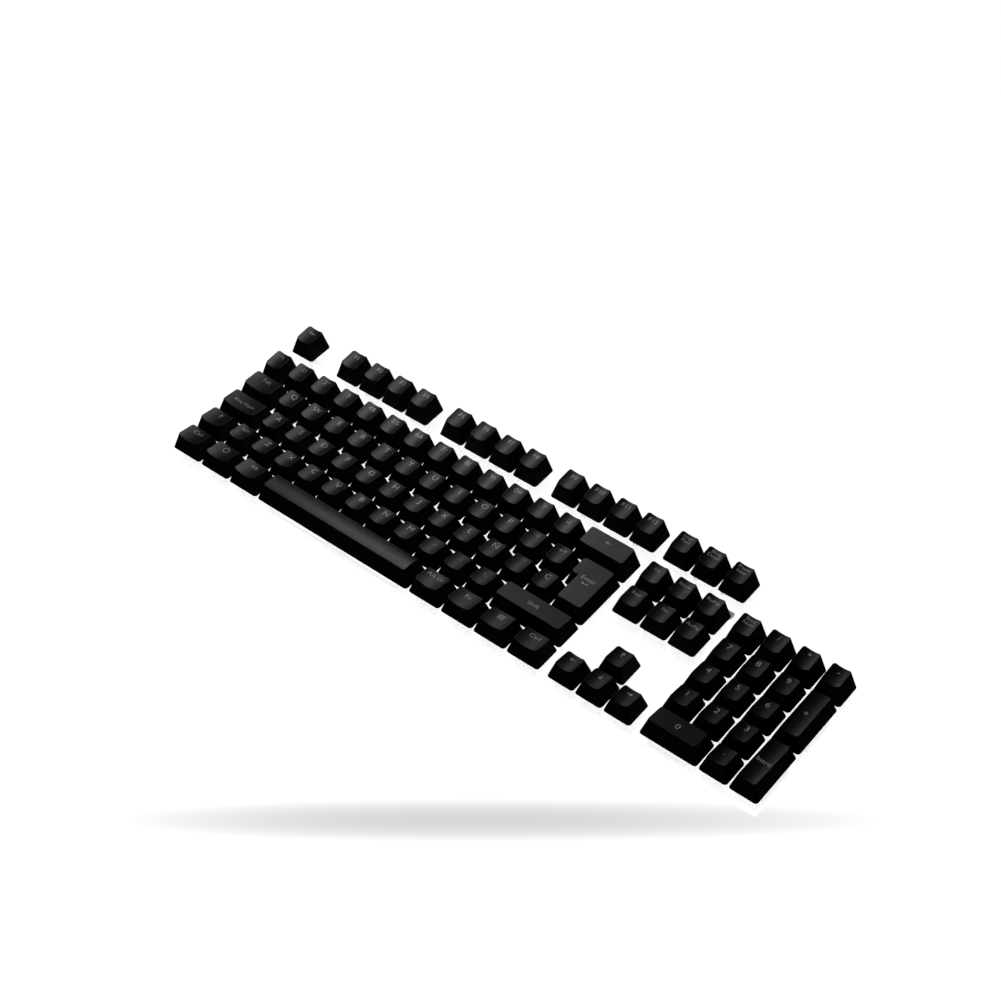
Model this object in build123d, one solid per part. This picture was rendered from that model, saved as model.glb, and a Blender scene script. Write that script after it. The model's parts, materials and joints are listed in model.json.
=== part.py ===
from build123d import *
import math
import os

# Full-size mechanical keyboard with 105 keys in an ISO layout, in millimetres.
# Origin: centre of the board's outline on the table. +X to the right, +Y to the back, +Z up.
# Tall keycaps float on clear switches, which stand on cluster plates over one clear bottom plate.

# --- Driving dimensions ---------------------------------------------------------------
UNIT = 19.05                # pitch of the key grid
BOARD_UNITS = 22.5          # columns across the whole board
ROW_GAP = 9.1               # extra space between the number row and the function row
TRAVEL = 4.0                # full stroke of a key

FOOT_HEIGHT = 2.5
BOTTOM_THICKNESS = 3.0
SPACER_LENGTH = 8.0
PLATE_THICKNESS = 1.5
BOARD_THICKNESS = 1.6
PLATE_TO_BOARD = 5.0        # top of the switch plate down to the top of the circuit board
PLATE_TO_SKIRT = 6.7        # top of the switch plate up to the keycap's lower edge

# Heights of every layer above the table
Z_BOTTOM = FOOT_HEIGHT
Z_FLOOR = Z_BOTTOM + BOTTOM_THICKNESS
Z_PLATE = Z_FLOOR + SPACER_LENGTH + PLATE_THICKNESS
Z_BOARD = Z_PLATE - PLATE_TO_BOARD
Z_SKIRT = Z_PLATE + PLATE_TO_SKIRT

# Keycaps
CAP_GAP = 1.15              # gap between neighbouring keycaps at the skirt
CAP_CORNER = 2.0
TOP_CORNER = 1.7
TOP_SIDE = 3.9              # cell edge to the top face, left and right
TOP_FRONT = 4.3             # cell edge to the top face, front
TOP_BACK = 2.25             # cell edge to the top face, back
RIM_FILLET = 0.25
RIM_MARGIN = 0.6            # the rim's edges all lie above the lowest top height less this
CAP_WALL = 1.35
CAP_ROOF = 1.4
POST_RADIUS = 2.75
POST_LIFT = 0.3             # lower end of the post above the skirt's edge
CROSS_LENGTH = 4.0
CROSS_WIDTH = 1.2
CROSS_HEIGHT = 3.6
CROSS_CLEARANCE = 0.05
SPACE_CROWN = 0.9           # rise of the space bar's rounded back
UPRIGHT_DISH = 1.1          # on the keys that are two rows tall

# Row number: height of the top face's front edge and back edge above the skirt
PROFILE = {0: (10.8, 8.6), 1: (10.3, 8.2), 2: (9.9, 8.5), 3: (9.9, 9.4), 4: (11.4, 12.2), 5: (11.2, 12.0)}
# Width in units: depth of the cylindrical dish in the top face, 0 for a flat top
DISH = {1: 1.25, 1.25: 1.5, 1.5: 1.5, 1.75: 1.5, 2: 0.0, 2.75: 0.0}

# Switches
HOUSING_SIDE = 13.8
HOUSING_WALL = 1.0
FLANGE_SIDE = 14.8          # clear of the stabiliser wire beside it
FLANGE_HEIGHT = 1.0
HOUSING_TOP_SIDE = 10.0
HOUSING_HEIGHT = 6.6        # top of the upper housing above the plate
STEM_WIDTH = 7.2
STEM_DEPTH = 5.5
STEM_CLEARANCE = 0.3
STEM_BOTTOM = 0.5           # lower end of the slider above the plate, at rest
PEG_RADIUS = 1.95
PEG_LENGTH = 3.3
SPRING_RADIUS = 2.1
SPRING_WIRE = 0.3
SPRING_SEAT = 4.5           # roof of the slider's spring pocket above the plate
LED_OFFSET = 5.3            # lamp behind the switch's centre
LED_SIZE = (3.2, 1.6, 0.9)

# Stabilisers of the wide keys
STAB_SPACING = 11.94
SPACE_STAB_SPACING = 50.0
STAB_WIDTH = 7.6
STAB_DEPTH = 13.4           # below the plate
STAB_TOP_DEPTH = 12.0       # above the plate, clear of a pressed keycap
STAB_WALL = 0.6
STAB_HEIGHT = 5.5
STAB_DROP = 4.5
STAB_SLIDER = (4.9, 6.0)
WIRE_RADIUS = 0.7
WIRE_BEND = 1.8
WIRE_OFFSET = 8.2           # pivot bar in front of the key's centre line
WIRE_LIFT = 1.5             # pivot bar above the plate
WIRE_REACH = 7.5            # pivot bar back to the hook in the slider
WIRE_OVERRUN = 0.42         # wire past the hook
WIRE_SLOT = 2.9             # height of the hook's window

# Chassis
PLATE_INSET = 0.9           # plates inside the outline of their cells
BOARD_INSET = 1.6
BOTTOM_INSET = 6.0
BOTTOM_CORNER = 8.0
SPACER_SIDE = 3.6
SCREW_RADIUS = 0.8
SCREW_DEPTH = 3.0
HEAD_RADIUS = 1.5
HEAD_HEIGHT = 1.0
FOOT_RADIUS = 6.0
FOOT_INSET = 15.0
USB_SIZE = (8.94, 7.35, 3.2)
USB_COLUMN = 4.0
CHIP_SIZE = (7.0, 7.0, 1.0)
LINK_WIDTH = 8.0
LINK_THICKNESS = 0.4

BOARD_WIDTH = BOARD_UNITS * UNIT
BOARD_DEPTH = 6 * UNIT + ROW_GAP


# --- Layout ---------------------------------------------------------------------------
def column(units):
    """X of a place along the key grid, counted in units from the board's left edge."""
    return units * UNIT - BOARD_WIDTH / 2


def row_front(row):
    """Y of a row's front edge. Row 0 is the space bar's, row 5 the function keys'."""
    gap = ROW_GAP if row >= 5 else 0
    return row * UNIT + gap - BOARD_DEPTH / 2


def run(names, width=1):
    """Keys of one width, side by side."""
    return [(name, width) for name in names.split()]


# Row, first column, then the keys from left to right with their widths in units
CLUSTERS = [
    (5, 0, run("esc")),
    (5, 2, run("f1 f2 f3 f4")),
    (5, 6.5, run("f5 f6 f7 f8")),
    (5, 11, run("f9 f10 f11 f12")),
    (5, 15.25, run("print_screen scroll_lock pause")),
    (4, 0, run("ordinal 1 2 3 4 5 6 7 8 9 0 apostrophe inverted_mark") + run("backspace", 2)),
    (4, 15.25, run("insert home page_up")),
    (4, 18.5, run("num_lock num_divide num_multiply num_minus")),
    (3, 0, run("tab", 1.5) + run("q w e r t y u i o p grave plus")),
    (3, 15.25, run("delete end page_down")),
    (3, 18.5, run("num_7 num_8 num_9")),
    (2, 0, run("caps_lock", 1.75) + run("a s d f g h j k l n_tilde acute c_cedilla")),
    (2, 18.5, run("num_4 num_5 num_6")),
    (1, 0, run("left_shift", 1.25) + run("less_than z x c v b n m comma period minus") + run("right_shift", 2.75)),
    (1, 16.25, run("arrow_up")),
    (1, 18.5, run("num_1 num_2 num_3")),
    (0, 0, run("left_ctrl left_system left_alt", 1.25) + run("space", 6.25)
        + run("alt_gr fn menu right_ctrl", 1.25)),
    (0, 15.25, run("arrow_left arrow_down arrow_right")),
    (0, 18.5, run("num_0", 2) + run("num_point")),
]

# Keys that press together as one body; every other key is a body of its own
GROUPS = {
    "function_keys": "esc f1 f2 f3 f4 f5 f6 f7 f8 f9 f10 f11 f12",
    "number_row_keys": "ordinal 1 2 3 4 5 6 7 8 9 0 apostrophe inverted_mark",
    "punctuation_keys": "grave plus n_tilde acute c_cedilla less_than comma period minus",
    "modifier_keys": "tab caps_lock left_shift left_ctrl left_system left_alt alt_gr fn menu right_ctrl",
    "navigation_keys": "print_screen scroll_lock pause insert home page_up delete end page_down"
                       " arrow_up arrow_left arrow_down arrow_right",
    "numpad_keys": "num_lock num_divide num_multiply num_minus num_7 num_8 num_9"
                   " num_4 num_5 num_6 num_1 num_2 num_3 num_point",
}
NODE_OF = {key: node for node, keys in GROUPS.items() for key in keys.split()}


class Key:
    """One key: its cell on the grid, its switch's place, and its stabilisers."""

    def __init__(self, name, row, first, width, rows=1):
        self.name, self.row, self.width, self.rows = name, row, width, rows
        self.x = column(first + width / 2)
        self.y = row_front(row) + rows * UNIT / 2
        self.upright = rows == 2
        spacing = SPACE_STAB_SPACING if name == "space" else STAB_SPACING
        self.stabs = [-spacing, spacing] if width >= 2 or self.upright else []
        self.node = NODE_OF.get(name, "key_" + name)

    def place(self, z=0):
        """Frame at the switch's centre, its X along the stabiliser wire."""
        return Pos(self.x, self.y, z) * Rot(0, 0, 90 if self.upright else 0)


KEYS = [
    Key(name, row, first + sum(w for _, w in keys[:i]), width)
    for row, first, keys in CLUSTERS
    for i, (name, width) in enumerate(keys)
]
KEYS += [
    Key("enter", 2, 13.75, 1.25, rows=2),
    Key("num_plus", 2, 21.5, 1, rows=2),
    Key("num_enter", 0, 21.5, 1, rows=2),
]
WIDE_KEYS = [key for key in KEYS if key.stabs]

# Islands of switch plate and circuit board: lists of (first column, last column, first row, last row)
ISLANDS = {
    "main": [(0, 15, 0, 4)],
    "function": [(0, 15, 5, 5)],
    "system": [(15.25, 18.25, 5, 5)],
    "editing": [(15.25, 18.25, 3, 4)],
    "arrows": [(15.25, 18.25, 0, 0), (16.25, 17.25, 0, 1)],
    "numpad": [(18.5, 22.5, 0, 4)],
}
# Spacers between two switches of a row: (column, row)
SPACER_PLACES = [
    (1, 4), (7, 4), (12, 4), (3.5, 3), (11.5, 3), (3.25, 1), (7.25, 1), (11.25, 1), (1.25, 0), (13.75, 0),
    (3, 5), (5, 5), (8.5, 5), (12, 5), (14, 5),
    (16.25, 5), (17.25, 5),
    (16.25, 4), (17.25, 4), (16.25, 3), (17.25, 3),
    (16.25, 0), (17.25, 0),
    (19.5, 4), (21.5, 4), (20.5, 2), (19.5, 1), (20.5, 1),
]
SPACER_XY = [(column(c), row_front(r) + UNIT / 2) for c, r in SPACER_PLACES]
# Flat links between the islands' circuit boards: (column, front row, back row), then (left column, right column, row)
LINKS_ALONG_Y = [(7.5, 4, 5), (16.75, 4, 5)]
LINKS_ALONG_X = [(15, 15.25, 4), (15, 15.25, 0), (18.25, 18.5, 4)]
FEET_XY = [
    (column(0) + FOOT_INSET, row_front(0) + FOOT_INSET),
    (column(0) + FOOT_INSET, row_front(5) + UNIT - FOOT_INSET),
    (column(9), row_front(0) + FOOT_INSET),
    (column(18.25) - FOOT_INSET, row_front(5) + UNIT - FOOT_INSET),
    (column(22.5) - FOOT_INSET, row_front(0) + FOOT_INSET),
    (column(22.5) - FOOT_INSET, row_front(4) + UNIT - FOOT_INSET),
]


# --- Small helpers --------------------------------------------------------------------
def block(x_size, y_size, z_low, z_high):
    """Box centred on the Z axis between two heights."""
    return Pos(0, 0, (z_low + z_high) / 2) * Box(x_size, y_size, z_high - z_low)


def rod(radius, z_low, z_high):
    """Cylinder on the Z axis between two heights."""
    return Pos(0, 0, (z_low + z_high) / 2) * Cylinder(radius, z_high - z_low)


def cross(length, width, z_low, z_high):
    """Plus-shaped bar between two heights."""
    return block(length, width, z_low, z_high) + block(width, length, z_low, z_high)


def span(x_low, x_high, y_low, y_high, z_low, z_high):
    """Box between two corners."""
    middle = Pos((x_low + x_high) / 2, (y_low + y_high) / 2, (z_low + z_high) / 2)
    return middle * Box(x_high - x_low, y_high - y_low, z_high - z_low)


def group(shapes):
    """Separate solids as the one compound that a node holds."""
    return Compound(children=[solid for shape in shapes for solid in shape.solids()])


# --- Keycaps --------------------------------------------------------------------------
class CapShape:
    """Tapered envelope of a keycap over a cell, with its lower edge at z = 0."""

    def __init__(self, width, depth, front, back):
        self.half_width = (width - CAP_GAP) / 2
        self.half_depth = (depth - CAP_GAP) / 2
        self.top_half_width = width / 2 - TOP_SIDE
        self.top_front = -depth / 2 + TOP_FRONT
        self.top_back = depth / 2 - TOP_BACK
        self.front, self.back = front, back

    def slope(self):
        return (self.back - self.front) / (self.top_back - self.top_front)

    def height_at(self, y):
        return self.front + self.slope() * (y - self.top_front)

    def top_plane(self, lift=0):
        """Plane of the top face's rim, with its Y up the slope."""
        middle = (self.top_front + self.top_back) / 2
        return Plane(
            origin=(0, middle, self.height_at(middle) + lift),
            x_dir=(1, 0, 0),
            z_dir=(0, -self.slope(), 1),
        )

    def outside(self, lift=0):
        """Solid envelope, its walls carried on by lift above the rim."""
        grow = 1 + lift / self.height_at((self.top_front + self.top_back) / 2)
        base = RectangleRounded(2 * self.half_width, 2 * self.half_depth, CAP_CORNER)
        half_width = self.half_width - (self.half_width - self.top_half_width) * grow
        low = -self.half_depth + (self.half_depth + self.top_front) * grow
        high = self.half_depth - (self.half_depth - self.top_back) * grow
        plane = self.top_plane(lift)
        tilt = math.hypot(1, self.slope())
        shift = (low + high) / 2 - (self.top_front + self.top_back) / 2
        rim = RectangleRounded(2 * half_width, (high - low) * tilt, TOP_CORNER)
        return loft([base, plane * Pos(0, shift * tilt, 0) * rim], ruled=True)

    def inside(self, roof):
        """Hollow under the cap, up to the height of its roof."""
        base = Rectangle(2 * (self.half_width - CAP_WALL), 2 * (self.half_depth - CAP_WALL))
        taper_x = (self.half_width - self.top_half_width) / min(self.front, self.back)
        taper_front = (self.half_depth + self.top_front) / self.front
        taper_back = (self.half_depth - self.top_back) / self.back
        low = -self.half_depth + CAP_WALL + taper_front * roof
        high = self.half_depth - CAP_WALL - taper_back * roof
        ceiling = Rectangle(2 * (self.half_width - CAP_WALL - taper_x * roof), high - low)
        return loft([base, Pos(0, (low + high) / 2, roof) * ceiling], ruled=True)

    def dish(self, depth):
        """Cylinder that hollows the top face by depth."""
        radius = (self.top_half_width ** 2 + depth ** 2) / (2 * depth)
        bar = Rot(90, 0, 0) * Cylinder(radius, 6 * UNIT)
        return self.top_plane() * Pos(0, 0, radius - depth) * bar

    def crown(self, rise):
        """Cylinder across the key that rounds its top to a rise over the rim."""
        half_depth = (self.top_back - self.top_front) / 2
        radius = (half_depth ** 2 + rise ** 2) / (2 * rise)
        bar = Rot(0, 90, 0) * Cylinder(radius, 8 * UNIT)
        return self.top_plane() * Pos(0, 0, rise - radius) * bar


def rounded_rim(cap, low):
    """Fillets the edges round the top face, all of which lie above a height."""
    rim = [e for e in cap.edges() if e.bounding_box().min.Z > low]
    return fillet(rim, RIM_FILLET)


def hollowed(cap, hollow, roof, posts):
    """Cuts the hollow, then adds the posts with their cross-shaped sockets."""
    cap -= hollow
    socket = CROSS_HEIGHT + 2 * CROSS_CLEARANCE
    grip = 2 * CROSS_CLEARANCE
    for x, y in posts:
        cap += Pos(x, y, 0) * rod(POST_RADIUS, POST_LIFT, roof + CAP_ROOF / 2)
        cap -= Pos(x, y, 0) * cross(CROSS_LENGTH + grip, CROSS_WIDTH + grip, 0, POST_LIFT + socket)
    return cap


def plain_cap(key):
    """Keycap over a rectangular cell, centred on its switch."""
    front = PROFILE[key.row][0]
    back = PROFILE[key.row + key.rows - 1][1]
    shape = CapShape(key.width * UNIT, key.rows * UNIT, front, back)
    low = min(front, back)
    if key.name == "space":
        dish = 0
        body = shape.outside(lift=SPACE_CROWN + 1) & shape.crown(SPACE_CROWN)
    else:
        dish = UPRIGHT_DISH if key.upright else DISH[key.width]
        body = shape.outside()
        if dish:
            body -= shape.dish(dish)
    body = rounded_rim(body, low - dish - RIM_MARGIN)
    roof = low - dish - CAP_ROOF
    along = (lambda d: (0, d)) if key.upright else (lambda d: (d, 0))
    return hollowed(body, shape.inside(roof), roof, [(0, 0)] + [along(d) for d in key.stabs])


def enter_cap(key):
    """Stepped Enter keycap: a tall body with a wider upper row."""
    tall = CapShape(1.25 * UNIT, 2 * UNIT, PROFILE[2][0], PROFILE[3][1])
    shift_x, shift_y = -0.125 * UNIT, 0.5 * UNIT
    wide = CapShape(1.5 * UNIT, UNIT, 0, 0)
    wide.front = tall.height_at(wide.top_front + shift_y)
    wide.back = tall.height_at(wide.top_back + shift_y)
    step = Pos(shift_x, shift_y, 0)
    body = rounded_rim(tall.outside() + step * wide.outside(), PROFILE[3][1] - RIM_MARGIN)
    roof = PROFILE[3][1] - CAP_ROOF
    hollow = tall.inside(roof) + step * wide.inside(roof)
    return hollowed(body, hollow, roof, [(0, 0)] + [(0, d) for d in key.stabs])


# --- Switches -------------------------------------------------------------------------
def switch_slider():
    """Stem that carries the keycap, with a cross on top and a spring pocket below."""
    shoulder = PLATE_TO_SKIRT + POST_LIFT - CROSS_CLEARANCE
    stem = block(STEM_WIDTH, STEM_DEPTH, STEM_BOTTOM, shoulder)
    stem += cross(CROSS_LENGTH, CROSS_WIDTH, shoulder, shoulder + CROSS_HEIGHT)
    return stem - rod(SPRING_RADIUS + 0.3, 0, SPRING_SEAT)


def lower_housing():
    """Open box through the plate, with a flange on it, a lamp window and a locating peg."""
    inner = HOUSING_SIDE - 2 * HOUSING_WALL
    body = block(HOUSING_SIDE, HOUSING_SIDE, -PLATE_TO_BOARD, 0)
    body += block(FLANGE_SIDE, FLANGE_SIDE, 0, FLANGE_HEIGHT)
    body -= block(inner, inner, -PLATE_TO_BOARD + HOUSING_WALL, FLANGE_HEIGHT)
    window = LED_SIZE[0] + 1
    body -= Pos(0, LED_OFFSET, 0) * block(window, LED_SIZE[1] + 1, -PLATE_TO_BOARD, -HOUSING_WALL)
    return body + rod(PEG_RADIUS, -PLATE_TO_BOARD - PEG_LENGTH, -PLATE_TO_BOARD)


def upper_housing():
    """Tapered cover on the flange, open on top for the slider."""
    outer = loft([
        Pos(0, 0, FLANGE_HEIGHT) * Rectangle(HOUSING_SIDE, HOUSING_SIDE),
        Pos(0, 0, HOUSING_HEIGHT) * Rectangle(HOUSING_TOP_SIDE, HOUSING_TOP_SIDE),
    ], ruled=True)
    inner_low = HOUSING_SIDE - 2 * HOUSING_WALL
    inner_high = HOUSING_TOP_SIDE - HOUSING_WALL
    inner = loft([
        Pos(0, 0, FLANGE_HEIGHT) * Rectangle(inner_low, inner_low),
        Pos(0, 0, HOUSING_HEIGHT - HOUSING_WALL) * Rectangle(inner_high, inner_high),
    ], ruled=True)
    opening = block(
        STEM_WIDTH + 2 * STEM_CLEARANCE, STEM_DEPTH + 2 * STEM_CLEARANCE, FLANGE_HEIGHT, HOUSING_HEIGHT + 1
    )
    return outer - inner - opening


def key_spring():
    """Envelope of the coil spring between the lower housing's floor and the slider's pocket."""
    low, high = -PLATE_TO_BOARD + HOUSING_WALL, SPRING_SEAT
    return rod(SPRING_RADIUS, low, high) - rod(SPRING_RADIUS - SPRING_WIRE, low, high)


# --- Stabilisers ----------------------------------------------------------------------
def stabiliser_housing():
    """Guide of one stabiliser slider, wider above the plate and open at the bottom."""
    lower_width = STAB_WIDTH - 0.8
    inner_depth = STAB_TOP_DEPTH - 2 * STAB_WALL
    body = block(STAB_WIDTH, STAB_TOP_DEPTH, 0, STAB_HEIGHT)
    body += block(lower_width, STAB_DEPTH, -STAB_DROP, 0)
    body -= block(STAB_WIDTH - 1.6, inner_depth, 0.8, STAB_HEIGHT)
    body -= block(lower_width - 1.4, inner_depth, -STAB_DROP, 0.8)
    slot = WIRE_RADIUS + 0.4
    return body - span(-slot, slot, -STAB_DEPTH, 0, -WIRE_RADIUS, WIRE_LIFT + 3 * WIRE_RADIUS)


def stabiliser_slider():
    """Sliding block with a cross on top and a window for the wire's end."""
    shoulder = PLATE_TO_SKIRT + POST_LIFT - CROSS_CLEARANCE
    body = block(*STAB_SLIDER, STEM_BOTTOM, shoulder)
    body += cross(CROSS_LENGTH, CROSS_WIDTH, shoulder, shoulder + CROSS_HEIGHT)
    middle = WIRE_LIFT + TRAVEL / 2
    width = WIRE_RADIUS + 0.4
    window = span(-width, width, -STAB_SLIDER[1], 1.0, middle - WIRE_SLOT / 2, middle + WIRE_SLOT / 2)
    return body - window


def stabiliser_wire(spacing):
    """Bent wire: a pivot bar with an arm up to each slider's window."""
    rise = TRAVEL / 2 / WIRE_REACH
    reach = WIRE_REACH + WIRE_OVERRUN
    tip_y, tip_z = reach - WIRE_OFFSET, WIRE_LIFT + reach * rise
    path = FilletPolyline(
        (-spacing, tip_y, tip_z),
        (-spacing, -WIRE_OFFSET, WIRE_LIFT),
        (spacing, -WIRE_OFFSET, WIRE_LIFT),
        (spacing, tip_y, tip_z),
        radius=WIRE_BEND,
    )
    start = Plane(origin=path @ 0, z_dir=path % 0)
    return sweep(start * Circle(WIRE_RADIUS), path)


# --- Chassis --------------------------------------------------------------------------
def island_outline(areas, inset, z_low, z_high):
    """Slab over the cells of an island, drawn in by an inset."""
    slabs = [
        span(column(first) + inset, column(last) - inset,
             row_front(front) + inset, row_front(back) + UNIT - inset, z_low, z_high)
        for first, last, front, back in areas
    ]
    return sum(slabs[1:], slabs[0])


def inside_areas(x, y, areas):
    """Whether a point lies over one of an island's areas."""
    return any(
        column(first) < x < column(last) and row_front(front) < y < row_front(back) + UNIT
        for first, last, front, back in areas
    )


def switch_plate(areas):
    """Plate of one island, with its switch, stabiliser and screw holes."""
    plate = island_outline(areas, PLATE_INSET, Z_PLATE - PLATE_THICKNESS, Z_PLATE)
    z_low, z_high = -PLATE_THICKNESS - 1, 1
    cuts = []
    for key in KEYS:
        if not inside_areas(key.x, key.y, areas):
            continue
        cuts.append(key.place(Z_PLATE) * block(HOUSING_SIDE + 0.2, HOUSING_SIDE + 0.2, z_low, z_high))
        for offset in key.stabs:
            hole = block(STAB_WIDTH - 0.4, STAB_DEPTH + 0.4, z_low, z_high)
            cuts.append(key.place(Z_PLATE) * Pos(offset, 0, 0) * hole)
    for x, y in SPACER_XY:
        if inside_areas(x, y, areas):
            cuts.append(Pos(x, y, Z_PLATE) * rod(SCREW_RADIUS + 0.1, z_low, z_high))
    return plate - cuts


def circuit_board(areas):
    """Circuit board of one island, with holes for the switch pegs and the spacers."""
    board = island_outline(areas, BOARD_INSET, Z_BOARD - BOARD_THICKNESS, Z_BOARD)
    z_low, z_high = Z_BOARD - BOARD_THICKNESS - 1, Z_BOARD + 1
    cuts = [
        Pos(key.x, key.y, 0) * rod(PEG_RADIUS + 0.1, z_low, z_high)
        for key in KEYS if inside_areas(key.x, key.y, areas)
    ]
    cuts += [
        Pos(x, y, 0) * rod(SPACER_SIDE / 2 + 0.6, z_low, z_high)
        for x, y in SPACER_XY if inside_areas(x, y, areas)
    ]
    return board - cuts


def bottom_plate():
    """Clear bottom plate with a stepped outline, a notch for the socket and screw holes."""
    with BuildSketch() as outline:
        with BuildLine():
            left, right = column(0) + BOTTOM_INSET, column(BOARD_UNITS) - BOTTOM_INSET
            front, back = row_front(0) + BOTTOM_INSET, row_front(5) + UNIT - BOTTOM_INSET
            step_x, step_y = column(18.25) - BOTTOM_INSET, row_front(4) + UNIT - BOTTOM_INSET
            Polyline((left, front), (right, front), (right, step_y), (step_x, step_y),
                     (step_x, back), (left, back), close=True)
        make_face()
        fillet(outline.vertices(), BOTTOM_CORNER)
    plate = extrude(Pos(0, 0, Z_BOTTOM) * outline.sketch, BOTTOM_THICKNESS)
    cuts = [
        span(column(USB_COLUMN) - USB_SIZE[0], column(USB_COLUMN) + USB_SIZE[0],
             back - USB_SIZE[1] + BOTTOM_INSET / 2, back + 1, Z_BOTTOM - 1, Z_FLOOR + 1)
    ]
    for x, y in SPACER_XY:
        cuts.append(Pos(x, y, 0) * rod(SCREW_RADIUS + 0.1, Z_BOTTOM - 1, Z_FLOOR + 1))
        cuts.append(Pos(x, y, 0) * rod(HEAD_RADIUS + 0.2, Z_BOTTOM - 1, Z_BOTTOM + HEAD_HEIGHT + 0.2))
    return plate - cuts


def spacer():
    """Hexagonal spacer, bored at both ends for a screw."""
    bore = SCREW_DEPTH + 0.5
    z_high = Z_FLOOR + SPACER_LENGTH
    body = extrude(Pos(0, 0, Z_FLOOR) * RegularPolygon(SPACER_SIDE / 2, 6, major_radius=False), SPACER_LENGTH)
    body -= rod(SCREW_RADIUS + 0.05, Z_FLOOR, Z_FLOOR + bore)
    return body - rod(SCREW_RADIUS + 0.05, z_high - bore, z_high)


def screw():
    """Pan-head screw, its head's seat at z = 0 and its shank downwards."""
    head = rod(HEAD_RADIUS, 0, HEAD_HEIGHT)
    head = fillet(head.edges().group_by(Axis.Z)[-1], HEAD_HEIGHT / 2)
    head -= cross(1.8, 0.45, HEAD_HEIGHT - 0.5, HEAD_HEIGHT + 1)
    return head + rod(SCREW_RADIUS, -SCREW_DEPTH, 0)


def rubber_foot():
    """Round foot with a softened lower edge."""
    foot = rod(FOOT_RADIUS, 0, FOOT_HEIGHT)
    return fillet(foot.edges().group_by(Axis.Z)[0], 0.6)


def usb_socket():
    """Hollow metal shell with a tongue, its mouth to the back, hung under the function row's board."""
    width, depth, height = USB_SIZE
    y_mouth = row_front(5) + UNIT - BOARD_INSET
    top = Z_BOARD - BOARD_THICKNESS
    shell = extrude(
        Plane(origin=(column(USB_COLUMN), y_mouth, top - height / 2), x_dir=(1, 0, 0), z_dir=(0, -1, 0))
        * RectangleRounded(width, height, height / 2 - 0.05), depth)
    hollow = extrude(
        Plane(origin=(column(USB_COLUMN), y_mouth, top - height / 2), x_dir=(1, 0, 0), z_dir=(0, -1, 0))
        * RectangleRounded(width - 0.6, height - 0.6, height / 2 - 0.35), depth - 1)
    tongue = span(column(USB_COLUMN) - width / 4, column(USB_COLUMN) + width / 4, y_mouth - depth + 0.5,
                  y_mouth - 1, top - height / 2 - 0.35, top - height / 2 + 0.35)
    return shell - hollow + tongue


def board_links():
    """Flat flexible links under the gaps between the circuit boards."""
    z_high = Z_BOARD - BOARD_THICKNESS
    z_low = z_high - LINK_THICKNESS
    lap = BOARD_INSET + 2.5
    links = []
    for at, front, back in LINKS_ALONG_Y:
        x = column(at)
        links.append(span(x - LINK_WIDTH / 2, x + LINK_WIDTH / 2, row_front(front) + UNIT - lap,
                          row_front(back) + lap, z_low, z_high))
    for left, right, row in LINKS_ALONG_X:
        y = row_front(row) + UNIT / 2
        links.append(span(column(left) - lap, column(right) + lap, y - LINK_WIDTH / 2, y + LINK_WIDTH / 2,
                          z_low, z_high))
    return links


# --- Assembly -------------------------------------------------------------------------
def key_nodes():
    """Every key's cap and sliders, by the node that holds them."""
    slider, guide = switch_slider(), stabiliser_slider()
    caps, nodes = {}, {}
    for key in KEYS:
        kind = (key.width, key.rows, key.row, key.name in ("space", "enter"))
        if kind not in caps:
            caps[kind] = enter_cap(key) if key.name == "enter" else plain_cap(key)
        pieces = nodes.setdefault(key.node, [])
        pieces.append(Pos(key.x, key.y, Z_SKIRT) * caps[kind])
        pieces.append(Pos(key.x, key.y, Z_PLATE) * slider)
        pieces += [key.place(Z_PLATE) * Pos(offset, 0, 0) * guide for offset in key.stabs]
    return nodes


def screws():
    """Screws down into every spacer and up from below."""
    one = screw()
    z_seat = Z_BOTTOM + HEAD_HEIGHT + 0.2
    upper = [Pos(x, y, Z_PLATE) * one for x, y in SPACER_XY]
    return upper + [Pos(x, y, z_seat) * Rot(180, 0, 0) * one for x, y in SPACER_XY]


def fixed_nodes():
    """Everything that stays still, by node."""
    lower, upper, spring = lower_housing(), upper_housing(), key_spring()
    stab, post, foot = stabiliser_housing(), spacer(), rubber_foot()
    lamp = block(LED_SIZE[0], LED_SIZE[1], 0, LED_SIZE[2])
    chip = block(CHIP_SIZE[0], CHIP_SIZE[1], -CHIP_SIZE[2], 0)
    seats = [Pos(key.x, key.y, Z_PLATE) for key in KEYS]
    return {
        "bottom_plate": [bottom_plate()],
        "switch_plates": [switch_plate(areas) for areas in ISLANDS.values()],
        "circuit_boards": [circuit_board(areas) for areas in ISLANDS.values()],
        "board_links": board_links(),
        "switch_lower_housings": [seat * lower for seat in seats],
        "switch_upper_housings": [seat * upper for seat in seats],
        "key_springs": [seat * spring for seat in seats],
        "key_lamps": [Pos(key.x, key.y + LED_OFFSET, Z_BOARD) * lamp for key in KEYS],
        "stabiliser_housings": [
            key.place(Z_PLATE) * Pos(offset, 0, 0) * stab for key in WIDE_KEYS for offset in key.stabs
        ],
        "controller_chip": [Pos(column(7.5), row_front(3), Z_BOARD - BOARD_THICKNESS) * chip],
        "usb_c_socket": [usb_socket()],
        "spacers": [Pos(x, y, 0) * post for x, y in SPACER_XY],
        "case_screws": screws(),
        "rubber_feet": [Pos(x, y, 0) * foot for x, y in FEET_XY],
    }


def main():
    os.makedirs("parts", exist_ok=True)
    nodes = fixed_nodes()
    nodes.update(key_nodes())
    for key in WIDE_KEYS:
        wire = stabiliser_wire(key.stabs[1])
        nodes["wire_" + key.name] = [key.place(Z_PLATE) * wire]
    for name, shapes in nodes.items():
        export_step(group(shapes), f"parts/{name}.step")
    print(len(nodes), "nodes,", len(KEYS), "keys")


main()
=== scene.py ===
import bpy
import bmesh
import json
import math
from mathutils import Vector, Matrix
from mathutils.bvhtree import BVHTree


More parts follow.
